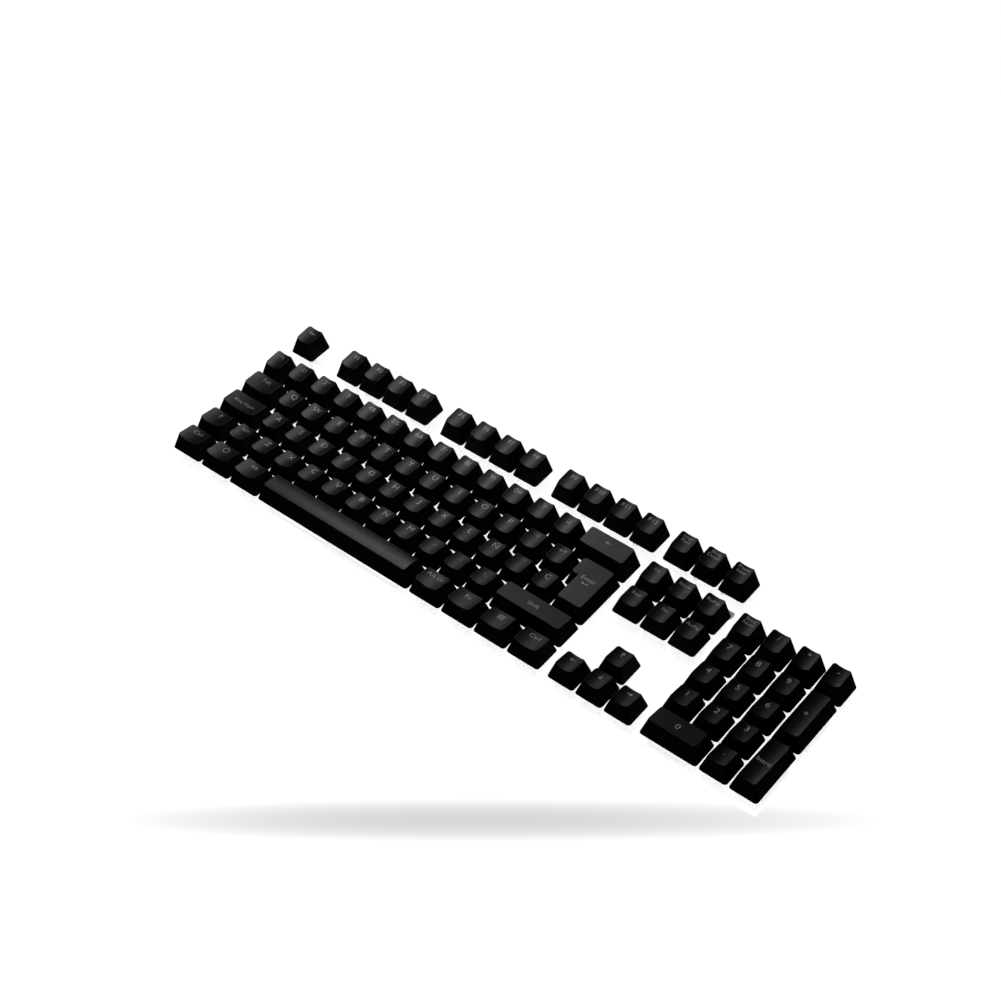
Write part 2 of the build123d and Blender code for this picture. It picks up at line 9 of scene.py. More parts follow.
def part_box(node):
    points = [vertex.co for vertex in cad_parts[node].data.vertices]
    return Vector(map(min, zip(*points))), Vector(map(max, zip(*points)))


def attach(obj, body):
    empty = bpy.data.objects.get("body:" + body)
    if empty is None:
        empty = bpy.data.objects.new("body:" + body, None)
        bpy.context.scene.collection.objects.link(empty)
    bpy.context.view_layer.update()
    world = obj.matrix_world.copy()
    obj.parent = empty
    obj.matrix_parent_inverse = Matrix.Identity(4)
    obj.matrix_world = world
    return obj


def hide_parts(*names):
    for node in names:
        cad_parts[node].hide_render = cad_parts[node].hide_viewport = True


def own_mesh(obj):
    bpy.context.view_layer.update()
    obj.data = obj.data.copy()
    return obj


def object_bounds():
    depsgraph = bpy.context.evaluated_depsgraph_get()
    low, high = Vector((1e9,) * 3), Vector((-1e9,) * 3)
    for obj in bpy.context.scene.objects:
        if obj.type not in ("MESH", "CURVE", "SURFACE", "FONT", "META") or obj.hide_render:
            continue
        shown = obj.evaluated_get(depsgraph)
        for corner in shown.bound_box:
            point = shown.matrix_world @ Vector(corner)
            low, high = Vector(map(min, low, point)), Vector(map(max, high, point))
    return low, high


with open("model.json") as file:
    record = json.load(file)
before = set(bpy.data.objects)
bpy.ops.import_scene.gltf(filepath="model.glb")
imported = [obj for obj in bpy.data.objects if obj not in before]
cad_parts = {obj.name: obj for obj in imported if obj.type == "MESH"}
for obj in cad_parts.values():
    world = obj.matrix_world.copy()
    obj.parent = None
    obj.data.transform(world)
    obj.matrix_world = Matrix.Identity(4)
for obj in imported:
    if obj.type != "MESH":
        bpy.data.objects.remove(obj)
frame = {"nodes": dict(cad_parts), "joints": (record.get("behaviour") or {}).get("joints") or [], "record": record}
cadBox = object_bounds()

nodes = frame["nodes"]
bodies = frame["record"]["behaviour"]["bodies"]
print("frame loaded:", len(nodes), "nodes")

# the key grid, the same one that the board is built on
grid = {
    "pitch": 0.01905,
    "columns": 22.5,
    "rowGap": 0.0091,        # extra space in front of the function row
    "skirtLift": 0.0067,     # switch plate up to the keycaps' lower edge
    "travel": 0.004,
}
boardWidth = grid["columns"] * grid["pitch"]
boardDepth = 6 * grid["pitch"] + grid["rowGap"]
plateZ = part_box("switch_plates")[1].z
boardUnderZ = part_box("circuit_boards")[0].z


def gridX(units):
    return units * grid["pitch"] - boardWidth / 2


def gridY(rows):
    gap = grid["rowGap"] if rows >= 5 else 0
    return rows * grid["pitch"] + gap - boardDepth / 2


# which key is where: row, first column, legends from left to right
# a legend may carry a width in units after a bar, and lines are split by a slash with spaces
legendRows = [
    (5, 0, ["Esc"]), (5, 2, ["F1", "F2", "F3", "F4"]), (5, 6.5, ["F5", "F6", "F7", "F8"]),
    (5, 11, ["F9", "F10", "F11", "F12"]), (5, 15.25, ["Impr / Pant", "Bloq / Despl", "Pausa / Inter"]),
    (4, 0, ["º\\", "1!", "2\"", "3·", "4$", "5%", "6&", "7/", "8(", "9)", "0=", "'?", "¡¿", "<-|2"]),
    (4, 15.25, ["Ins", "Inicio", "RePág"]), (4, 18.5, ["Bloq / Num", "/", "*", "-"]),
    (3, 0, ["Tab|1.5", "Q", "W", "E", "R", "T", "Y", "U", "I", "O", "P", "`^", "+*"]),
    (3, 15.25, ["Supr", "Fin", "AvPág"]), (3, 18.5, ["7", "8", "9"]),
    (2, 0, ["Bloq Mayús|1.75", "A", "S", "D", "F", "G", "H", "J", "K", "L", "Ñ", "´¨", "Ç"]),
    (2, 18.5, ["4", "5", "6"]),
    (1, 0, ["up|1.25", "<>", "Z", "X", "C", "V", "B", "N", "M", ",;", ".:", "-_", "Shift|2.75"]),
    (1, 16.25, ["up"]), (1, 18.5, ["1", "2", "3"]),
    (0, 0, [
        "Ctrl|1.25", "ring|1.25", "Alt|1.25", "|6.25", "Alt Gr|1.25", "Fn|1.25", "list|1.25", "Ctrl|1.25",
    ]),
    (0, 15.25, ["left", "down", "right"]), (0, 18.5, ["0|2", "."]),
]
tallKeys = [("Enter", 13.75, 1.25, 2), ("+", 21.5, 1, 2), ("Intro", 21.5, 1, 0)]
signs = "`^ +* ´¨ Ñ Ç <> ,; .: -_".split()


def bodyFor(label, row, column, width, tall):
    if tall:
        return {"Enter": "key_enter", "+": "key_num_plus", "Intro": "key_num_enter"}[label]
    if column >= 18.5:
        return "key_num_0" if width == 2 else "numpad_keys"
    if column >= 15.25:
        return "navigation_keys"
    if width == 2:
        return "key_backspace"
    if width == 2.75:
        return "key_right_shift"
    if width == 6.25:
        return "key_space"
    if row == 5:
        return "function_keys"
    if row == 4:
        return "number_row_keys"
    if label in signs:
        return "punctuation_keys"
    return "key_" + label.lower() if len(label) == 1 else "modifier_keys"


keys = []
for row, column, labels in legendRows:
    for text in labels:
        label, _, width = text.partition("|")
        width = float(width or 1)
        body = bodyFor(label, row, column, width, False)
        place = Vector((gridX(column + width / 2), gridY(row) + grid["pitch"] / 2, 0))
        keys.append({"label": label, "row": row, "width": width, "body": body, "at": place, "tall": False})
        column += width
for label, column, width, row in tallKeys:
    place = Vector((gridX(column + width / 2), gridY(row) + grid["pitch"], 0))
    body = bodyFor(label, row, column, width, True)
    keys.append({"label": label, "row": row, "width": width, "body": body, "at": place, "tall": True})
print("keys placed:", len(keys))


# shared shader effects
def newGroup(name, inputs, outputs):
    group = bpy.data.node_groups.new(name, "ShaderNodeTree")
    for socketName, kind, value in inputs:
        socket = group.interface.new_socket(socketName, in_out="INPUT", socket_type=kind)
        socket.default_value = value
    for socketName, kind in outputs:
        group.interface.new_socket(socketName, in_out="OUTPUT", socket_type=kind)
    start = group.nodes.new("NodeGroupInput")
    end = group.nodes.new("NodeGroupOutput")
    return group, start, end


def addNoise(tree, scale, detail, roughness=0.55):
    noise = tree.nodes.new("ShaderNodeTexNoise")
    noise.inputs["Scale"].default_value = scale
    noise.inputs["Detail"].default_value = detail
    noise.inputs["Roughness"].default_value = roughness
    return noise


def addMath(tree, operation, first, second):
    node = tree.nodes.new("ShaderNodeMath")
    node.operation = operation
    for socket, value in zip(node.inputs, (first, second)):
        if isinstance(value, (int, float)):
            socket.default_value = value
        else:
            tree.links.new(value, socket)
    return node


def addRange(tree, source, low, high, fromLow=0.3, fromHigh=0.7):
    node = tree.nodes.new("ShaderNodeMapRange")
    node.inputs["From Min"].default_value = fromLow
    node.inputs["From Max"].default_value = fromHigh
    tree.links.new(source, node.inputs["Value"])
    for socketName, value in (("To Min", low), ("To Max", high)):
        if isinstance(value, (int, float)):
            node.inputs[socketName].default_value = value
        else:
            tree.links.new(value, node.inputs[socketName])
    return node.outputs["Result"]


def addMix(tree, factor, first, second):
    node = tree.nodes.new("ShaderNodeMix")
    node.data_type = "RGBA"
    tree.links.new(factor, node.inputs["Factor"])
    for socketName, value in (("A", first), ("B", second)):
        socket = [s for s in node.inputs if s.name == socketName and s.type == "RGBA"][0]
        if isinstance(value, (tuple, list)):
            socket.default_value = value
        else:
            tree.links.new(value, socket)
    return [s for s in node.outputs if s.type == "RGBA"][0]


# fine moulded texture: a colour that wanders, a roughness that follows it, and a height for the bump
def makeMouldedGrain():
    tree, start, end = newGroup("mouldedGrain", [
        ("Color", "NodeSocketColor", (0.1, 0.1, 0.1, 1)),
        ("Second Color", "NodeSocketColor", (0.12, 0.12, 0.12, 1)),
        ("Grain Size", "NodeSocketFloat", 4000), ("Low Roughness", "NodeSocketFloat", 0.4),
        ("High Roughness", "NodeSocketFloat", 0.5),
    ], [("Color", "NodeSocketColor"), ("Roughness", "NodeSocketFloat"), ("Height", "NodeSocketFloat")])
    spot = tree.nodes.new("ShaderNodeTexCoord")
    fine = addNoise(tree, 4000, 2)
    tree.links.new(start.outputs["Grain Size"], fine.inputs["Scale"])
    broad = addNoise(tree, 60, 3)
    for noise in (fine, broad):
        tree.links.new(spot.outputs["Object"], noise.inputs["Vector"])
    tone = addRange(tree, broad.outputs["Fac"], 0, 1)
    color = addMix(tree, tone, start.outputs["Color"], start.outputs["Second Color"])
    rough = addRange(
        tree, broad.outputs["Fac"], start.outputs["Low Roughness"], start.outputs["High Roughness"]
    )
    tree.links.new(color, end.inputs["Color"])
    tree.links.new(rough, end.inputs["Roughness"])
    tree.links.new(fine.outputs["Fac"], end.inputs["Height"])
    return tree


# polish left by fingers: worn, slightly paler edges where the surface turns out
def makeEdgeWear():
    tree, start, end = newGroup("edgeWear", [
        ("Color", "NodeSocketColor", (0.1, 0.1, 0.1, 1)),
        ("Worn Color", "NodeSocketColor", (0.2, 0.2, 0.2, 1)),
        ("Amount", "NodeSocketFloat", 0.5),
    ], [("Color", "NodeSocketColor"), ("Mask", "NodeSocketFloat")])
    turn = tree.nodes.new("ShaderNodeNewGeometry")
    edge = addRange(tree, turn.outputs["Pointiness"], 0, 1, 0.52, 0.62)
    patch = addNoise(tree, 350, 3)
    spot = tree.nodes.new("ShaderNodeTexCoord")
    tree.links.new(spot.outputs["Object"], patch.inputs["Vector"])
    broken = addMath(tree, "MULTIPLY", edge, patch.outputs["Fac"])
    mask = addMath(tree, "MULTIPLY", broken.outputs[0], start.outputs["Amount"])
    color = addMix(tree, mask.outputs[0], start.outputs["Color"], start.outputs["Worn Color"])
    tree.links.new(color, end.inputs["Color"])
    tree.links.new(mask.outputs[0], end.inputs["Mask"])
    return tree


# drawn or plated metal: streaks along one axis
def makeDrawnMetal():
    tree, start, end = newGroup("drawnMetal", [
        ("Color", "NodeSocketColor", (0.6, 0.6, 0.6, 1)),
        ("Dull Color", "NodeSocketColor", (0.4, 0.4, 0.4, 1)),
        ("Streak Scale", "NodeSocketVector", (200, 4000, 4000)),
    ], [("Color", "NodeSocketColor"), ("Roughness", "NodeSocketFloat"), ("Height", "NodeSocketFloat")])
    spot = tree.nodes.new("ShaderNodeTexCoord")
    stretch = tree.nodes.new("ShaderNodeVectorMath")
    stretch.operation = "MULTIPLY"
    tree.links.new(spot.outputs["Object"], stretch.inputs[0])
    tree.links.new(start.outputs["Streak Scale"], stretch.inputs[1])
    streak = addNoise(tree, 1, 3)
    tree.links.new(stretch.outputs["Vector"], streak.inputs["Vector"])
    tone = addRange(tree, streak.outputs["Fac"], 0, 1)
    color = addMix(tree, tone, start.outputs["Color"], start.outputs["Dull Color"])
    tree.links.new(color, end.inputs["Color"])
    tree.links.new(addRange(tree, streak.outputs["Fac"], 0.22, 0.42), end.inputs["Roughness"])
    tree.links.new(streak.outputs["Fac"], end.inputs["Height"])
    return tree


mouldedGrain = makeMouldedGrain()
edgeWear = makeEdgeWear()
drawnMetal = makeDrawnMetal()


# materials
def startMaterial(name):
    material = bpy.data.materials.new(name)
    material.use_nodes = True
    return material, material.node_tree, material.node_tree.nodes["Principled BSDF"]


def placeGroup(tree, group, values):
    node = tree.nodes.new("ShaderNodeGroup")
    node.node_tree = group
    for name, value in values.items():
        node.inputs[name].default_value = value
    return node


def addBump(tree, shader, height, distance, strength=1.0):
    bump = tree.nodes.new("ShaderNodeBump")
    bump.inputs["Distance"].default_value = distance
    bump.inputs["Strength"].default_value = strength
    tree.links.new(height, bump.inputs["Height"])
    tree.links.new(bump.outputs["Normal"], shader.inputs["Normal"])


def cameraSees(tree):
    path = tree.nodes.new("ShaderNodeLightPath")
    either = addMath(tree, "MAXIMUM", path.outputs["Is Camera Ray"], path.outputs["Is Transmission Ray"])
    return either.outputs[0]


# painted glow: camera-only emission that lightens plates, board, housings, sliders, wire and legends, which are no
# lamps, and stands in for the key lamps' own light; it lights nothing around it
def addPaintedGlow(tree, shader, color, look):
    if "glow" in look:
        tree.links.new(color, shader.inputs["Emission Color"])
        strength = addMath(tree, "MULTIPLY", cameraSees(tree), look["glow"])
        tree.links.new(strength.outputs[0], shader.inputs["Emission Strength"])


# moulded plastic: grain, then worn edges over it
def mouldedPlastic(name, look):
    material, tree, shader = startMaterial(name)
    grain = placeGroup(tree, mouldedGrain, {
        "Color": look["color"], "Second Color": look["second"], "Grain Size": look["grain"],
        "Low Roughness": look["rough"][0], "High Roughness": look["rough"][1],
    })
    wear = placeGroup(tree, edgeWear, {"Worn Color": look["worn"], "Amount": look["wear"]})
    tree.links.new(grain.outputs["Color"], wear.inputs["Color"])
    tree.links.new(wear.outputs["Color"], shader.inputs["Base Color"])
    tree.links.new(grain.outputs["Roughness"], shader.inputs["Roughness"])
    addBump(tree, shader, grain.outputs["Height"], look["bump"])
    shader.inputs["Specular IOR Level"].default_value = look.get("specular", 0.5)
    shader.inputs["Alpha"].default_value = look.get("alpha", 1.0)
    addPaintedGlow(tree, shader, grain.outputs["Color"], look)
    return material


def drawnSteel(name, look):
    material, tree, shader = startMaterial(name)
    metal = placeGroup(tree, drawnMetal, {
        "Color": look["color"], "Dull Color": look["dull"], "Streak Scale": look["streaks"],
    })
    wear = placeGroup(tree, edgeWear, {"Worn Color": (0.9, 0.9, 0.9, 1), "Amount": 0.6})
    tree.links.new(metal.outputs["Color"], wear.inputs["Color"])
    tree.links.new(wear.outputs["Color"], shader.inputs["Base Color"])
    tree.links.new(metal.outputs["Roughness"], shader.inputs["Roughness"])
    shader.inputs["Metallic"].default_value = 1.0
    addBump(tree, shader, metal.outputs["Height"], 0.00001)
    addPaintedGlow(tree, shader, metal.outputs["Color"], look)
    return material


blackKeycapLook = {
    "color": (0.003, 0.003, 0.0033, 1), "second": (0.004, 0.004, 0.0043, 1), "grain": 5200,
    "rough": (0.44, 0.5), "worn": (0.03, 0.03, 0.032, 1), "wear": 0.5, "bump": 0.000012, "specular": 0.5,
}
# glow in the looks below is painted glow: camera-only emission that makes the slider, clear plates, housings and
# board read white, and stands in for the key lamps' own light
sliderLook = {
    "color": (0.62, 0.64, 0.66, 1), "second": (0.7, 0.72, 0.73, 1), "grain": 3000,
    "rough": (0.25, 0.35), "worn": (0.85, 0.85, 0.85, 1), "wear": 0.3, "bump": 0.00001, "glow": 1.15,
}
clearPlateLook = {
    "color": (0.93, 0.95, 0.96, 1), "second": (0.97, 0.98, 0.99, 1), "grain": 900,
    "rough": (0.05, 0.12), "worn": (1, 1, 1, 1), "wear": 0.8, "bump": 0.000004, "alpha": 0.16, "glow": 1.0,
}
clearHousingLook = {
    "color": (0.9, 0.92, 0.93, 1), "second": (0.95, 0.96, 0.96, 1), "grain": 2500,
    "rough": (0.12, 0.22), "worn": (1, 1, 1, 1), "wear": 0.6, "bump": 0.000008, "alpha": 0.34, "glow": 0.95,
}
whiteBoardLook = {
    "color": (0.86, 0.87, 0.86, 1), "second": (0.92, 0.92, 0.91, 1), "grain": 1800,
    "rough": (0.35, 0.5), "worn": (0.8, 0.76, 0.6, 1), "wear": 0.4, "bump": 0.00001, "glow": 1.12,
}
lampLook = {
    "color": (0.9, 0.9, 0.82, 1), "second": (0.97, 0.96, 0.9, 1), "grain": 5000,
    "rough": (0.2, 0.3), "worn": (1, 1, 1, 1), "wear": 0.3, "bump": 0.000006, "glow": 1.6,
}
# the legends' glow is painted brightness that no lamp gives them
legendLook = {
    "color": (0.2, 0.2, 0.205, 1), "second": (0.27, 0.27, 0.275, 1), "grain": 5200,
    "rough": (0.4, 0.5), "worn": (0.3, 0.3, 0.3, 1), "wear": 0.2, "bump": 0.000008, "glow": 0.52,
}
chipLook = {
    "color": (0.02, 0.02, 0.022, 1), "second": (0.035, 0.035, 0.037, 1), "grain": 4000,
    "rough": (0.5, 0.65), "worn": (0.12, 0.12, 0.12, 1), "wear": 0.5, "bump": 0.00001,
}
rubberLook = {
    "color": (0.55, 0.56, 0.57, 1), "second": (0.66, 0.67, 0.68, 1), "grain": 2200,
    "rough": (0.6, 0.8), "worn": (0.4, 0.4, 0.4, 1), "wear": 0.5, "bump": 0.00003,
}
springLook = {"color": (0.62, 0.62, 0.64, 1), "dull": (0.45, 0.45, 0.47, 1), "streaks": (3000, 3000, 300)}
# the wire's glow is painted glow that makes it read white
wireLook = {
    "color": (0.93, 0.93, 0.94, 1), "dull": (0.86, 0.86, 0.87, 1),
    "streaks": (250, 5000, 5000), "glow": 0.95,
}
nickelLook = {"color": (0.7, 0.68, 0.64, 1), "dull": (0.52, 0.5, 0.47, 1), "streaks": (4000, 4000, 500)}
zincLook = {"color": (0.66, 0.67, 0.7, 1), "dull": (0.45, 0.46, 0.48, 1), "streaks": (900, 900, 900)}
solderLook = {"color": (0.72, 0.73, 0.74, 1), "dull": (0.5, 0.5, 0.51, 1), "streaks": (1500, 1500, 1500)}

blackKeycap = mouldedPlastic("blackKeycap", blackKeycapLook)
stemPlastic = mouldedPlastic("stemPlastic", sliderLook)
clearPlate = mouldedPlastic("clearPlate", clearPlateLook)
clearHousing = mouldedPlastic("clearHousing", clearHousingLook)
whiteBoard = mouldedPlastic("whiteBoard", whiteBoardLook)
milkyLamp = mouldedPlastic("milkyLamp", lampLook)
legendInlay = mouldedPlastic("legendInlay", legendLook)
chipPlastic = mouldedPlastic("chipPlastic", chipLook)
frostedRubber = mouldedPlastic("frostedRubber", rubberLook)
springSteel = drawnSteel("springSteel", springLook)
wireSteel = drawnSteel("wireSteel", wireLook)
nickelPlate = drawnSteel("nickelPlate", nickelLook)
zincPlate = drawnSteel("zincPlate", zincLook)
solderTin = drawnSteel("solderTin", solderLook)

nodeMaterials = {
    "bottom_plate": clearPlate, "switch_plates": clearPlate, "circuit_boards": whiteBoard,
    "board_links": whiteBoard, "switch_lower_housings": clearHousing, "switch_upper_housings": clearHousing,
    "stabiliser_housings": clearHousing, "key_lamps": milkyLamp, "controller_chip": chipPlastic,
    "usb_c_socket": nickelPlate, "spacers": nickelPlate, "case_screws": zincPlate,
    "rubber_feet": frostedRubber, "key_springs": springSteel,
}


def dressNode(name, materials):
    mesh = nodes[name].data
    mesh.materials.clear()
    for material in materials:
        mesh.materials.append(material)
    mesh.polygons.foreach_set("material_index", [0] * len(mesh.polygons))


for name, material in nodeMaterials.items():
    dressNode(name, [material])
for name in nodes:
    if name.startswith("wire_"):
        dressNode(name, [wireSteel])

# a key node holds its keycap and the slider below it: what hangs below the skirt's edge is slider
capLowest = plateZ + grid["skirtLift"] - 0.00005
keyNodes = [name for name in nodes if name.startswith("key_") and name not in nodeMaterials]
keyNodes += [name for name in nodes if name.endswith("_keys")]
for name in keyNodes:
    dressNode(name, [blackKeycap, stemPlastic])
    mesh = nodes[name].data
    heights = [v.co.z for v in mesh.vertices]
    for face in mesh.polygons:
        if min(heights[v] for v in face.vertices) < capLowest:
            face.material_index = 1
print("materials set on", len(nodes), "nodes")


# small mesh helpers
def meshPiece(name, bm, material, body):
    mesh = bpy.data.meshes.new(name)
    bm.to_mesh(mesh)
    bm.free()
    piece = bpy.data.objects.new(name, mesh)
    bpy.context.scene.collection.objects.link(piece)
    mesh.materials.append(material)
    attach(piece, body)
    return piece


def sweepRing(bm, points, radius, sides):
    rings = []
    for i, point in enumerate(points):
        before = points[max(i - 1, 0)]
        after = points[min(i + 1, len(points) - 1)]
        along = (after - before).normalized()
        across = along.cross(Vector((0, 0, 1)))
        across = across.normalized() if across.length > 1e-6 else Vector((1, 0, 0))
        up = across.cross(along)
        ring = []
        for s in range(sides):
            angle = 2 * math.pi * s / sides
            ring.append(bm.verts.new(point + radius * (math.cos(angle) * across + math.sin(angle) * up)))
        rings.append(ring)
    for first, second in zip(rings, rings[1:]):
        for s in range(sides):
            t = (s + 1) % sides
            face = bm.faces.new((first[s], first[t], second[t], second[s]))
            face.smooth = True
    bm.faces.new(list(reversed(rings[0])))
    bm.faces.new(rings[-1])


# coil springs: one mesh for each body of keys
springShape = {
    "radius": 0.0019, "wire": 0.00014, "turns": 9, "steps": 14, "sides": 5,
    "closedTurns": 1.0,      # turns lying flat at each end
}


def springHeight(share):
    closed = springShape["closedTurns"] / springShape["turns"]
    pitchFlat = 2.2 * springShape["wire"] / springSpan * springShape["turns"] * closed
    if share < closed:
        return pitchFlat * share / closed
    if share > 1 - closed:
        return 1 - pitchFlat * (1 - share) / closed
    return pitchFlat + (1 - 2 * pitchFlat) * (share - closed) / (1 - 2 * closed)


springLow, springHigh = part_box("key_springs")[0].z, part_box("key_springs")[1].z
springSpan = springHigh - springLow - 2 * springShape["wire"]


def addSpring(bm, at):
    count = springShape["turns"] * springShape["steps"]
    points = []
    for i in range(count + 1):
        share = i / count
        angle = 2 * math.pi * springShape["turns"] * share
        z = springLow + springShape["wire"] + springSpan * springHeight(share)
        out = Vector((math.cos(angle), math.sin(angle))) * springShape["radius"]
        points.append(Vector((at.x + out.x, at.y + out.y, z)))
    sweepRing(bm, points, springShape["wire"], springShape["sides"])


pressJoints = {joint["child"]: joint["name"] for joint in frame["joints"] if joint["type"] == "slide"}
for body in sorted(pressJoints):
    bm = bmesh.new()
    members = [key for key in keys if key["body"] == body]
    for key in members:
        addSpring(bm, key["at"])
    piece = meshPiece("springs_" + body, bm, springSteel, "root")
    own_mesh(piece)
    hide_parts("key_springs")

# legends: thin translucent inlays that follow the top of each keycap
legendStyle = {
    "letter": 0.0053, "word": 0.0031, "bigWord": 0.0040, "pair": 0.0046, "function": 0.004048,
    "stretch": 1.14, "thin": -0.010, "lineStep": 0.95, "curveSteps": 3,
    "proud": 0.00003,
    "slice": 0.0006, "slices": 12,      # strips to each side that let a legend follow a dished top
    "back": 0.0035, "backWord": 0.0036, "backWide": 0.0007,
    "wideFrom": 1.75,                   # width in units
    "bigWords": ["Ctrl", "Alt", "Alt Gr", "Tab", "Enter", "Shift", "Intro", "Fn"],
    "shift": {"Enter": (-0.0008, 0.0036), "<-": (0.0, 0.0016)},      # from the usual place
    "returnDrop": 0.0036,               # the arrow that stands below the word Enter
}
symbolShape = {
    "stroke": 0.00036,
    "arrow": [
        ((0, -0.0016), (0, 0.0015)), ((-0.0011, 0.0004), (0, 0.0016)), ((0.0011, 0.0004), (0, 0.0016)),
    ],
    "arrowTurns": {"up": 0, "left": 90, "<-": 90, "down": 180, "right": 270},
    "return": [
        ((-0.0019, 0), (0.0017, 0)), ((0.0017, 0), (0.0017, 0.0014)),
        ((-0.0019, 0), (-0.0010, 0.0008)), ((-0.0019, 0), (-0.0010, -0.0008)),
    ],
    "list": [
        ((-0.0013, -0.0011), (0.0013, -0.0011)), ((-0.0013, -0.0002), (0.0013, -0.0002)),
        ((-0.0013, 0.0007), (0.0013, 0.0007)),
        ((-0.0017, -0.0017), (-0.0017, 0.0014)), ((0.0017, -0.0017), (0.0017, 0.0014)),
        ((-0.0019, -0.0017), (0.0019, -0.0017)), ((-0.0019, 0.0014), (0.0019, 0.0014)),
    ],
    "listStroke": 0.000288,
    "ringRadius": 0.0019, "ringSides": 24,
}


def textOutline(text, size):
    curve = bpy.data.curves.new("legendText", "FONT")
    curve.body = text
    curve.size = size
    curve.align_x = "CENTER"
    curve.align_y = "CENTER"
    curve.offset = legendStyle["thin"] * size
    curve.resolution_u = legendStyle["curveSteps"]
    holder = bpy.data.objects.new("legendText", curve)
    bpy.context.scene.collection.objects.link(holder)
    bpy.context.view_layer.update()
    mesh = bpy.data.meshes.new_from_object(holder.evaluated_get(bpy.context.evaluated_depsgraph_get()))
    bpy.data.objects.remove(holder)
    bpy.data.curves.remove(curve)
    return mesh


def addStroke(bm, first, second, width):
    a, b = Vector((*first, 0)), Vector((*second, 0))
    side = (b - a).normalized().cross(Vector((0, 0, 1))) * width / 2
    bm.faces.new([bm.verts.new(p) for p in (a + side, b + side, b - side, a - side)])


def symbolStrokes(kind):
    if kind in symbolShape["arrowTurns"]:
        spin = Matrix.Rotation(math.radians(symbolShape["arrowTurns"][kind]), 2)
        return [(spin @ Vector(first), spin @ Vector(second)) for first, second in symbolShape["arrow"]]
    if kind == "ring":
        sides, radius = symbolShape["ringSides"], symbolShape["ringRadius"]
        turns = [2 * math.pi * i / sides for i in range(sides + 1)]
        corners = [(radius * math.cos(turn), radius * math.sin(turn)) for turn in turns]
        return list(zip(corners, corners[1:]))
    return symbolShape.get(kind)


def addSymbol(bm, kind):
    width = symbolShape["listStroke" if kind == "list" else "stroke"]
    for first, second in symbolStrokes(kind):
        addStroke(bm, first, second, width)


def legendSize(label):
    if label in legendStyle["bigWords"]:
        return legendStyle["bigWord"]
    if label[0] == "F" and label[1:].isdigit():
        return legendStyle["function"]
    return legendStyle[{1: "letter", 2: "pair"}.get(len(label), "word")]


def addMesh(bm, mesh):
    bm.from_mesh(mesh)
    bpy.data.meshes.remove(mesh)


def flatLegend(label):
    bm = bmesh.new()
    if label in symbolShape["arrowTurns"] or label in ("list", "ring"):
        addSymbol(bm, label)
        return bm
    lines = label.split(" / ")
    size = legendSize(label)
    for i, line in enumerate(lines):
        mesh = textOutline(line, size)
        drop = (len(lines) - 1) / 2 - i
        mesh.transform(Matrix.Translation((0, drop * size * legendStyle["lineStep"], 0)))
        mesh.transform(Matrix.Scale(legendStyle["stretch"], 4, (1, 0, 0)))
        addMesh(bm, mesh)
    if label == "Enter":
        arrow = bmesh.new()
        addSymbol(arrow, "return")
        bmesh.ops.translate(arrow, verts=arrow.verts, vec=(0, -legendStyle["returnDrop"], 0))
        mesh = bpy.data.meshes.new("legendArrow")
        arrow.to_mesh(mesh)
        arrow.free()
        addMesh(bm, mesh)
    return bm


def layOnTop(bm, key, tree):
    word = len(key["label"]) > 2 and not key["label"][1:].isdigit()
    wide = key["tall"] or key["width"] >= legendStyle["wideFrom"]
    lift = legendStyle["backWide" if wide else "backWord" if word else "back"]
    shift = legendStyle["shift"].get(key["label"], (0, 0))
    middle = key["at"] + Vector((shift[0], lift + shift[1], 0))
    step = legendStyle["slice"]
    for i in range(-legendStyle["slices"], legendStyle["slices"] + 1):
        everything = bm.verts[:] + bm.edges[:] + bm.faces[:]
        bmesh.ops.bisect_plane(bm, geom=everything, plane_co=(i * step, 0, 0), plane_no=(1, 0, 0))
    ceiling = cadBox[1].z + 0.01
    missed = []
    for vert in bm.verts:
        x, y = middle.x + vert.co.x, middle.y + vert.co.y
        hit = tree.ray_cast(Vector((x, y, ceiling)), Vector((0, 0, -1)))[0]
        if hit is None:
            missed.append(vert)
        else:
            vert.co = Vector((x, y, hit.z + legendStyle["proud"]))
    bmesh.ops.delete(bm, geom=missed, context="VERTS")


legendCount = 0
for body in sorted(pressJoints):
    mesh = nodes[bodies[body][0]].data
    tree = BVHTree.FromPolygons([v.co for v in mesh.vertices], [p.vertices for p in mesh.polygons])
    whole = bmesh.new()
    for key in keys:
        if key["body"] != body or not key["label"]:
            continue
        bm = flatLegend(key["label"])
        layOnTop(bm, key, tree)
        part = bpy.data.meshes.new("legendPart")
        bm.to_mesh(part)
        bm.free()
        addMesh(whole, part)
        legendCount += 1
    if whole.verts:
        meshPiece("legends_" + body, whole, legendInlay, body)
    else:
        whole.free()
print("legends laid:", legendCount)

# what is soldered to the boards: two pins to a switch and a diode beside it
pinShape = {
    "places": [(-0.0038, 0.0025), (0.0025, 0.0050)],
    "tip": 0.0003, "radius": 0.0006, "length": 0.0014, "tipLength": 0.00084,
    "pad": 0.0011, "padDrop": 0.0006, "padHeight": 0.00058,
}
diodeShape = {"at": (0.0055, -0.0055), "size": (0.0027, 0.0014, 0.0009), "gap": 0.00002, "bevel": 0.00018}


def addCone(bm, at, lowRadius, highRadius, height, sides=12):
    spot = Matrix.Translation(Vector(at) + Vector((0, 0, height / 2)))
    bmesh.ops.create_cone(
        bm, cap_ends=True, segments=sides, radius1=lowRadius, radius2=highRadius, depth=height, matrix=spot
    )


